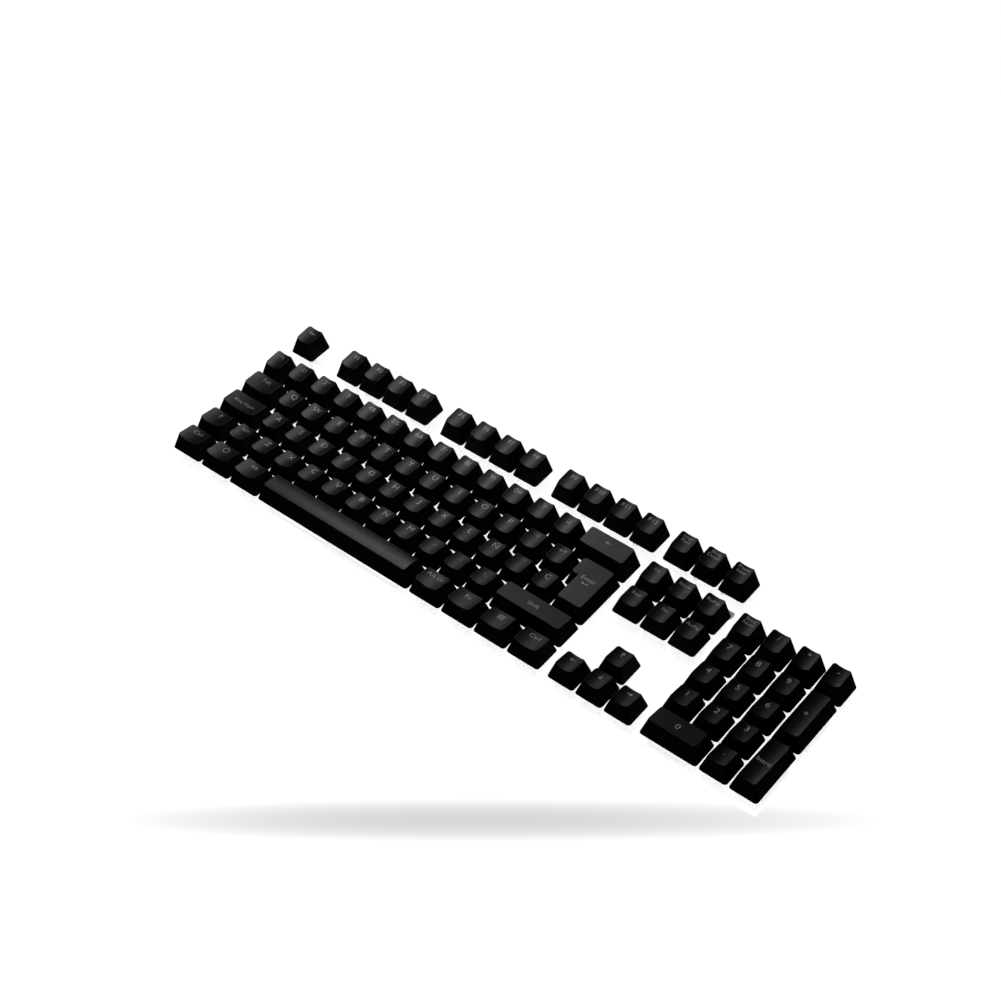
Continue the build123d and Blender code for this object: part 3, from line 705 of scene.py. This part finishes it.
solder = bmesh.new()
diodes = bmesh.new()
for key in keys:
    for dx, dy in pinShape["places"]:
        x, y = key["at"].x + dx, key["at"].y + dy
        tipZ, padZ = boardUnderZ - pinShape["length"], boardUnderZ - pinShape["padDrop"]
        addCone(solder, (x, y, tipZ), pinShape["tip"], pinShape["radius"], pinShape["tipLength"])
        addCone(solder, (x, y, padZ), pinShape["radius"], pinShape["pad"], pinShape["padHeight"])
    dx, dy = diodeShape["at"]
    size = Vector(diodeShape["size"])
    middleZ = boardUnderZ - size.z / 2 - diodeShape["gap"]
    spot = Matrix.Translation((key["at"].x + dx, key["at"].y + dy, middleZ))
    made = bmesh.ops.create_cube(diodes, size=1, matrix=spot @ Matrix.Diagonal((*size, 1)))
    edges = list({e for v in made["verts"] for e in v.link_edges})
    bmesh.ops.bevel(diodes, geom=edges, offset=diodeShape["bevel"], segments=2, affect="EDGES")
meshPiece("solder_joints", solder, solderTin, "root")
meshPiece("switch_diodes", diodes, chipPlastic, "root")
print("boards populated")

# floor, lights and camera
stageLook = {
    "drop": 0.30, "size": 14.0, "glow": 1.0, "diffuse": 0.5, "room": 0.012,
    # the soft shade on the floor: middle, turn in degrees, half length, half width, and how dark it gets
    "shadeAt": (-0.0345, 0.0046), "shadeTurn": 37.33, "shadeSize": (0.281, 0.0187), "shadeDepth": 0.363,
}


def softShade(tree):
    spot = tree.nodes.new("ShaderNodeTexCoord")
    place = tree.nodes.new("ShaderNodeMapping")
    place.vector_type = "TEXTURE"
    place.inputs["Location"].default_value = (*stageLook["shadeAt"], 0)
    place.inputs["Rotation"].default_value = (0, 0, math.radians(stageLook["shadeTurn"]))
    place.inputs["Scale"].default_value = (*stageLook["shadeSize"], 1)
    tree.links.new(spot.outputs["Object"], place.inputs["Vector"])
    reach = tree.nodes.new("ShaderNodeVectorMath")
    reach.operation = "DOT_PRODUCT"
    tree.links.new(place.outputs["Vector"], reach.inputs[0])
    tree.links.new(place.outputs["Vector"], reach.inputs[1])
    inside = addMath(tree, "SUBTRACT", 1.0, reach.outputs["Value"])
    inside.use_clamp = True
    dark = addMath(tree, "MULTIPLY", inside.outputs[0], stageLook["shadeDepth"])
    return addMath(tree, "SUBTRACT", 1.0, dark.outputs[0]).outputs[0]



def makeFloor():
    mesh = bpy.data.meshes.new("floor")
    bm = bmesh.new()
    bmesh.ops.create_grid(bm, x_segments=4, y_segments=4, size=stageLook["size"] / 2)
    bm.to_mesh(mesh)
    bm.free()
    floor = bpy.data.objects.new("floor", mesh)
    floor.location = (0, 0, -stageLook["drop"])
    bpy.context.scene.collection.objects.link(floor)
    material, tree, shader = startMaterial("paleFloor")
    shade = stageLook["diffuse"]
    shader.inputs["Base Color"].default_value = (shade, shade, shade, 1)
    shader.inputs["Roughness"].default_value = 1.0
    shader.inputs["Specular IOR Level"].default_value = 0.0
    shader.inputs["Emission Color"].default_value = (1, 1, 1, 1)
    lit = addMath(tree, "MULTIPLY", cameraSees(tree), softShade(tree))
    strength = addMath(tree, "MULTIPLY", lit.outputs[0], stageLook["glow"])
    tree.links.new(strength.outputs[0], shader.inputs["Emission Strength"])
    mesh.materials.append(material)


def makeRoom():
    world = bpy.data.worlds.new("room")
    bpy.context.scene.world = world
    world.use_nodes = True
    tree = world.node_tree
    backdrop = tree.nodes["Background"]
    level = addRange(tree, cameraSees(tree), stageLook["room"], 1.0, 0.0, 1.0)
    tree.links.new(level, backdrop.inputs["Strength"])
    backdrop.inputs["Color"].default_value = (1, 1, 1, 1)


lamps = {
    "softboxBackLeft": {"at": (-0.20, 0.14, 0.33), "size": 0.20, "power": 0.50},
    "softboxFront": {"at": (0.30, -0.80, 0.90), "size": 0.60, "power": 0.05},
}


def addLamp(name, look):
    light = bpy.data.lights.new(name, "AREA")
    light.shape = "DISK"
    light.size = look["size"]
    light.energy = look["power"]
    lamp = bpy.data.objects.new(name, light)
    lamp.location = look["at"]
    lamp.rotation_mode = "QUATERNION"
    lamp.rotation_quaternion = (-Vector(look["at"])).to_track_quat("-Z", "Y")
    bpy.context.scene.collection.objects.link(lamp)


cameraView = {
    "azimuth": 43.22, "elevation": 47.35, "roll": -4.977,
    "distance": 1.1387, "right": -0.00453, "up": 0.02465, "lens": 71.47,
    "rowShift": 0.0002,
}


def makeCamera():
    azimuth, elevation, roll = (math.radians(cameraView[k]) for k in ("azimuth", "elevation", "roll"))
    reach = math.cos(elevation)
    back = Vector((math.sin(azimuth) * reach, -math.cos(azimuth) * reach, math.sin(elevation)))
    level = Vector((math.cos(azimuth), math.sin(azimuth), 0))
    rise = back.cross(level)
    right = math.cos(roll) * level + math.sin(roll) * rise
    up = -math.sin(roll) * level + math.cos(roll) * rise
    target = Vector((0, cameraView["rowShift"], plateZ + grid["skirtLift"]))
    spot = target + cameraView["distance"] * back + cameraView["right"] * right + cameraView["up"] * up
    data = bpy.data.cameras.new("camera")
    data.lens = cameraView["lens"]
    data.sensor_width = 36
    data.clip_start, data.clip_end = 0.01, 100
    camera = bpy.data.objects.new("camera", data)
    camera.matrix_world = Matrix.Translation(spot) @ Matrix((right, up, back)).transposed().to_4x4()
    bpy.context.scene.collection.objects.link(camera)
    bpy.context.scene.camera = camera


makeFloor()
makeRoom()
for name, look in lamps.items():
    addLamp(name, look)
makeCamera()
bpy.context.scene.view_settings.view_transform = "Standard"
print("stage set")
